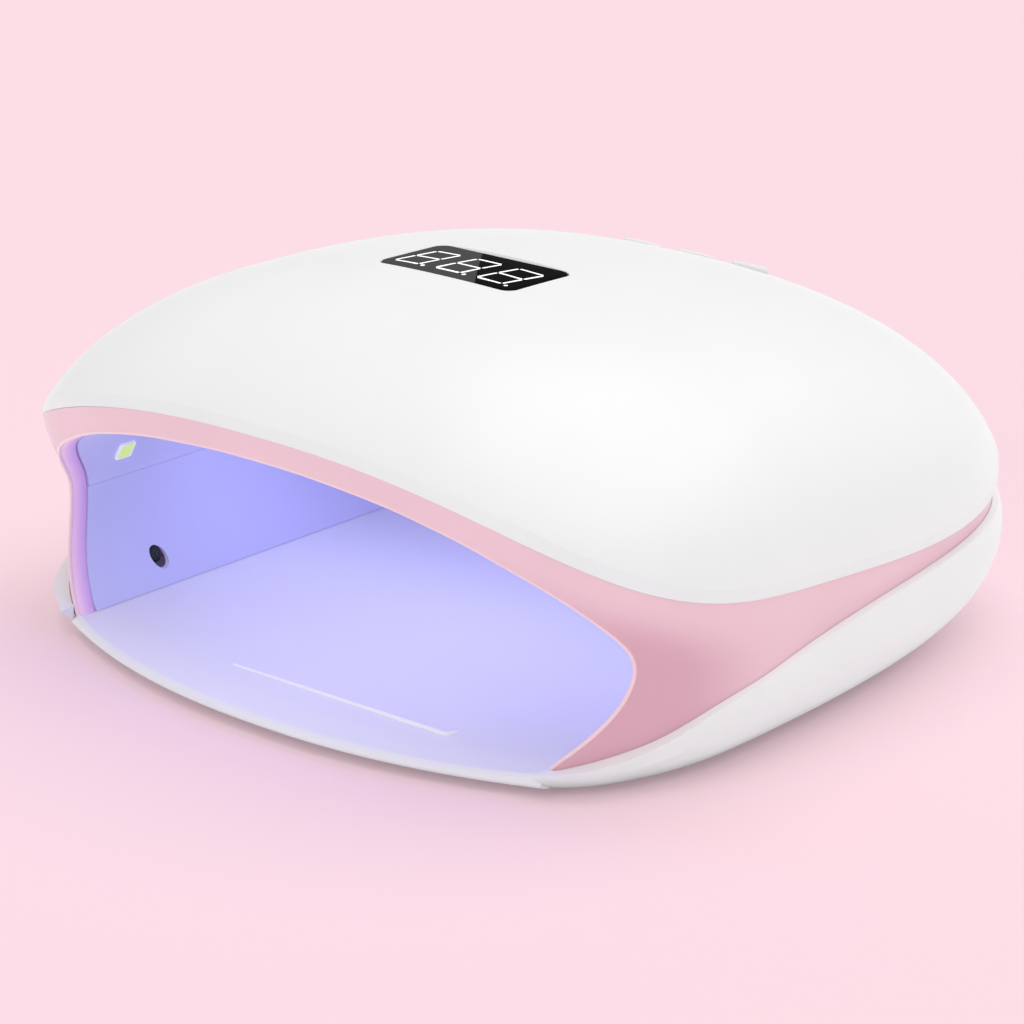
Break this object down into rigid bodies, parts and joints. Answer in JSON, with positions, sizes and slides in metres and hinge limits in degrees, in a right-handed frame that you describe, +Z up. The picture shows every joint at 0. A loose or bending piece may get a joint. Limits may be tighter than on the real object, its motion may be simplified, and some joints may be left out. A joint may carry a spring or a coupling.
{
  "type": "uv led nail lamp",
  "caption": "Domed two-hand nail-curing lamp with an arched hand opening, waisted middle frame, winged tub, display window, push buttons and a pull-out base plate",
  "frame": {"origin": "centre of the bounding box in plan, on the table under the feet", "axes": "+X is the user's right when facing the hand opening, -Y is the front with the hand opening, +Z is up"},
  "size_m": [0.2182, 0.2083, 0.0967],
  "materials": {
    "white_shell": "smooth white gloss",
    "pink_frame": "pearly pink satin",
    "liner": "bright white reflector",
    "plate": "smooth white gloss",
    "smoked_window": "polished black, smoked",
    "digits": "lit white segments on black",
    "button": "smooth white gloss",
    "lamp_package": "white frame, clear yellow-green dome",
    "lamp_board": "white-masked metal-core board",
    "board_green": "green solder mask",
    "black_plastic": "fine satin",
    "foot": "matt grey rubber",
    "screw": "zinc-plated, cross recess"
  },
  "bodies": {
    "lamp": {"top_shell": "white_shell", "middle_frame": "pink_frame", "inner_bezel": "pink_frame", "bottom_shell": "white_shell", "side_liner": "liner", "ceiling_reflector": "liner", "display_window": "smoked_window", "display_module": "digits", "switch_left": "black_plastic", "switch_middle": "black_plastic", "switch_right": "black_plastic", "button_board": "board_green", "led_01": "lamp_package", "led_02": "lamp_package", "led_03": "lamp_package", "led_04": "lamp_package", "led_05": "lamp_package", "led_06": "lamp_package", "led_07": "lamp_package", "led_08": "lamp_package", "led_09": "lamp_package", "led_10": "lamp_package", "led_11": "lamp_package", "led_12": "lamp_package", "led_13": "lamp_package", "led_14": "lamp_package", "led_15": "lamp_package", "led_16": "lamp_package", "led_17": "lamp_package", "led_board_far_left": "lamp_board", "led_board_left": "lamp_board", "led_board_middle": "lamp_board", "led_board_right": "lamp_board", "led_board_far_right": "lamp_board", "main_board": "board_green", "sensor_left": "black_plastic", "sensor_right": "black_plastic", "dc_inlet": "black_plastic", "foot_1": "foot", "foot_2": "foot", "foot_3": "foot", "foot_4": "foot", "foot_5": "foot", "foot_6": "foot", "case_screw_1": "screw", "case_screw_2": "screw", "case_screw_3": "screw", "case_screw_4": "screw"},
    "base_plate": {"base_plate": "plate"},
    "button_left": {"button_left": "button"},
    "button_middle": {"button_middle": "button"},
    "button_right": {"button_right": "button"}
  },
  "joints": [
    {"name": "plate_slide", "type": "slide", "parent": "lamp", "child": "base_plate", "axis": [0, -1, 0], "range_m": [0, 0.17]},
    {"name": "left_press", "type": "slide", "parent": "lamp", "child": "button_left", "axis": [0, -0.3903, -0.9207], "range_m": [0, 0.0008], "stiffness_N_per_m": 400, "springref_m": -0.002},
    {"name": "middle_press", "type": "slide", "parent": "lamp", "child": "button_middle", "axis": [0, -0.3903, -0.9207], "range_m": [0, 0.0008], "stiffness_N_per_m": 400, "springref_m": -0.002},
    {"name": "right_press", "type": "slide", "parent": "lamp", "child": "button_right", "axis": [0, -0.3903, -0.9207], "range_m": [0, 0.0008], "stiffness_N_per_m": 400, "springref_m": -0.002}
  ]
}
